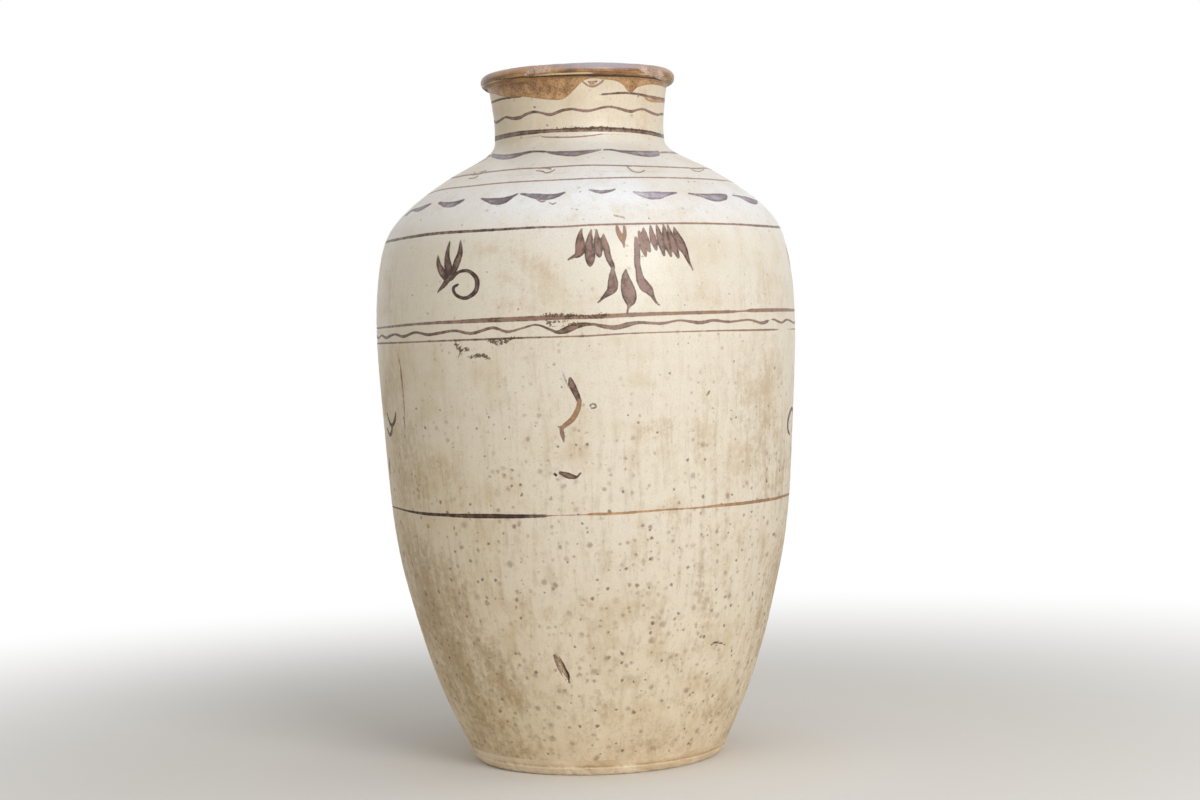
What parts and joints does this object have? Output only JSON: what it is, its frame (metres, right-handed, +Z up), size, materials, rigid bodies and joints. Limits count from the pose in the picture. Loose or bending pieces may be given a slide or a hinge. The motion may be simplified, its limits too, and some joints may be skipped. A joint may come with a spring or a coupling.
{
  "type": "martaban jar",
  "caption": "Tall shouldered stoneware storage jar with a short flared neck and a rolled lip, luted from thrown sections, open at the mouth.",
  "frame": {"origin": "centre of the foot ring's resting face", "axes": "+Z up along the jar's axis, towards the mouth; -Y is the side in the picture"},
  "size_m": [0.3756, 0.3756, 0.61],
  "materials": {
    "bare_stoneware": "unglazed, fired",
    "cream_glaze": "cream slip under clear glaze, iron-brown brushwork",
    "brown_glaze": "brown glaze, half gloss"
  },
  "bodies": {
    "root": {"base_slab": "bare_stoneware", "lower_wall": "cream_glaze", "belly_wall": "cream_glaze", "shoulder_wall": "cream_glaze", "neck_collar": "cream_glaze", "rolled_lip": "brown_glaze", "base_coil": "brown_glaze", "lower_coil": "brown_glaze", "waist_coil": "brown_glaze", "neck_coil": "cream_glaze"}
  },
  "joints": []
}
